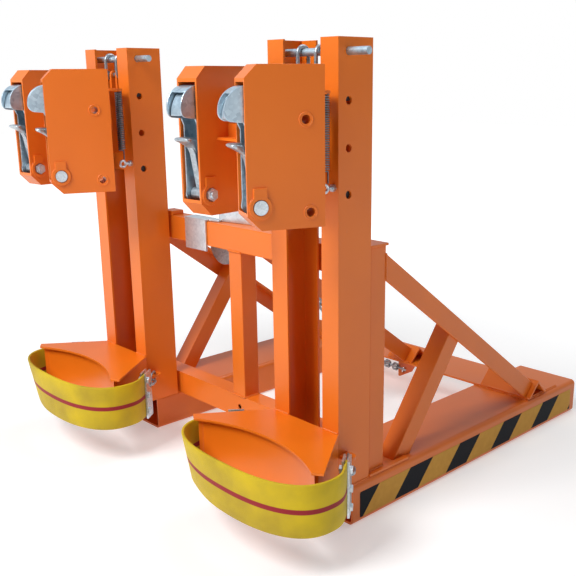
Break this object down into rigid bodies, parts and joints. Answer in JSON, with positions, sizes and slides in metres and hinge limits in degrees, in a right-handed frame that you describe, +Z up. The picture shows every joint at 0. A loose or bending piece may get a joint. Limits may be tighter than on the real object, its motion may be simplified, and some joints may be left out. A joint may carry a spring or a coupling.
{
  "type": "forklift drum clamp",
  "caption": "Fork-mounted drum clamp: slotted columns carry floating heads with splayed rim hooks, over belted drum cradles and a braced rear frame.",
  "frame": {"origin": "middle of the overall box, on the floor under the fork sleeves", "axes": "+Z up; +Y runs back along the fork sleeves towards the truck, so the drums stand on the -Y side; +X to the right as the truck's driver sees it"},
  "size_m": [1.211, 1.2924, 1.07],
  "materials": {
    "orange_paint": "gloss",
    "zinc_plate": "satin",
    "dark_steel": "satin",
    "nylon": "matte",
    "yellow_webbing": "matte"
  },
  "bodies": {
    "frame": {"rear_posts": "orange_paint", "post_caps": "orange_paint", "foot_plates": "orange_paint", "centre_post": "orange_paint", "upper_crossbeam": "orange_paint", "lower_crossbeam": "orange_paint", "centre_brace": "orange_paint", "brace_struts": "orange_paint", "brace_feet": "orange_paint", "rear_cross_plate": "orange_paint", "chain_lug": "orange_paint", "round_plate": "zinc_plate", "belt_clamp_bars": "zinc_plate", "belt_clamp_bolts": "zinc_plate", "belt_links": "zinc_plate", "belt_lugs": "orange_paint", "spring_anchors": "zinc_plate", "right_fork_sleeve": "orange_paint", "left_fork_sleeve": "orange_paint", "right_outer_channel": "orange_paint", "right_inner_channel": "orange_paint", "left_outer_channel": "orange_paint", "left_inner_channel": "orange_paint", "right_brace": "orange_paint", "left_brace": "orange_paint", "right_cradle": "orange_paint", "left_cradle": "orange_paint", "right_belt": "yellow_webbing", "left_belt": "yellow_webbing"},
    "carriage_hook": {"carriage_hook": "zinc_plate", "safety_chain": "zinc_plate"},
    "right_head": {"right_carriage": "orange_paint", "right_guide_shoes": "nylon", "right_hanger": "zinc_plate", "right_return_spring": "dark_steel"},
    "right_swivel": {"right_head_bridge": "zinc_plate", "right_head_shelf": "orange_paint", "right_outer_casing": "orange_paint", "right_inner_casing": "orange_paint", "right_pivot_bolts": "zinc_plate"},
    "right_outer_hook": {"right_outer_hook": "zinc_plate"},
    "right_outer_jaw": {"right_outer_jaw": "zinc_plate"},
    "right_inner_hook": {"right_inner_hook": "zinc_plate"},
    "right_inner_jaw": {"right_inner_jaw": "zinc_plate"},
    "right_pin": {"right_adjusting_pin": "zinc_plate"},
    "left_head": {"left_carriage": "orange_paint", "left_guide_shoes": "nylon", "left_hanger": "zinc_plate", "left_return_spring": "dark_steel"},
    "left_swivel": {"left_head_bridge": "zinc_plate", "left_head_shelf": "orange_paint", "left_outer_casing": "orange_paint", "left_inner_casing": "orange_paint", "left_pivot_bolts": "zinc_plate"},
    "left_inner_hook": {"left_inner_hook": "zinc_plate"},
    "left_inner_jaw": {"left_inner_jaw": "zinc_plate"},
    "left_outer_hook": {"left_outer_hook": "zinc_plate"},
    "left_outer_jaw": {"left_outer_jaw": "zinc_plate"},
    "left_pin": {"left_adjusting_pin": "zinc_plate"}
  },
  "joints": [
    {"name": "carriage_hook_lift", "type": "slide", "parent": "frame", "child": "carriage_hook", "axis": [0, 0, 1], "range_m": [0, 0.004]},
    {"name": "right_head_float", "type": "slide", "parent": "frame", "child": "right_head", "axis": [0, 0, 1], "range_m": [0, 0.018], "deforming": ["right_return_spring"]},
    {"name": "right_head_swivel", "type": "hinge", "parent": "right_head", "child": "right_swivel", "pos_m": [0.38, -0.40375, 0.831], "axis": [0, 0, 1], "range_deg": [-7, 10]},
    {"name": "right_outer_hook_tilt", "type": "hinge", "parent": "right_swivel", "child": "right_outer_hook", "pos_m": [0.46482, -0.57554, 0.761], "axis": [0.9239, -0.3827, 0], "range_deg": [-12, 0], "stiffness_Nm_per_rad": 6, "springref_deg": 6.88},
    {"name": "right_outer_jaw_tilt", "type": "hinge", "parent": "right_swivel", "child": "right_outer_jaw", "pos_m": [0.46482, -0.57554, 0.761], "axis": [0.9239, -0.3827, 0], "range_deg": [-6, 0], "stiffness_Nm_per_rad": 4, "springref_deg": 6.88},
    {"name": "right_inner_hook_tilt", "type": "hinge", "parent": "right_swivel", "child": "right_inner_hook", "pos_m": [0.24624, -0.54093, 0.761], "axis": [0.9969, 0.0785, 0], "range_deg": [-12, 0], "stiffness_Nm_per_rad": 6, "springref_deg": 6.88},
    {"name": "right_inner_jaw_tilt", "type": "hinge", "parent": "right_swivel", "child": "right_inner_jaw", "pos_m": [0.24624, -0.54093, 0.761], "axis": [0.9969, 0.0785, 0], "range_deg": [-6, 0], "stiffness_Nm_per_rad": 4, "springref_deg": 6.88},
    {"name": "right_pin_pull", "type": "slide", "parent": "frame", "child": "right_pin", "axis": [-1, 0, 0], "range_m": [0, 0.27]},
    {"name": "left_head_float", "type": "slide", "parent": "frame", "child": "left_head", "axis": [0, 0, 1], "range_m": [0, 0.018], "deforming": ["left_return_spring"]},
    {"name": "left_head_swivel", "type": "hinge", "parent": "left_head", "child": "left_swivel", "pos_m": [-0.38, -0.40375, 0.831], "axis": [0, 0, 1], "range_deg": [-7, 10]},
    {"name": "left_inner_hook_tilt", "type": "hinge", "parent": "left_swivel", "child": "left_inner_hook", "pos_m": [-0.29518, -0.57554, 0.761], "axis": [0.9239, -0.3827, 0], "range_deg": [-12, 0], "stiffness_Nm_per_rad": 6, "springref_deg": 6.88},
    {"name": "left_inner_jaw_tilt", "type": "hinge", "parent": "left_swivel", "child": "left_inner_jaw", "pos_m": [-0.29518, -0.57554, 0.761], "axis": [0.9239, -0.3827, 0], "range_deg": [-6, 0], "stiffness_Nm_per_rad": 4, "springref_deg": 6.88},
    {"name": "left_outer_hook_tilt", "type": "hinge", "parent": "left_swivel", "child": "left_outer_hook", "pos_m": [-0.51376, -0.54093, 0.761], "axis": [0.9969, 0.0785, 0], "range_deg": [-12, 0], "stiffness_Nm_per_rad": 6, "springref_deg": 6.88},
    {"name": "left_outer_jaw_tilt", "type": "hinge", "parent": "left_swivel", "child": "left_outer_jaw", "pos_m": [-0.51376, -0.54093, 0.761], "axis": [0.9969, 0.0785, 0], "range_deg": [-6, 0], "stiffness_Nm_per_rad": 4, "springref_deg": 6.88},
    {"name": "left_pin_pull", "type": "slide", "parent": "frame", "child": "left_pin", "axis": [-1, 0, 0], "range_m": [0, 0.27]}
  ]
}
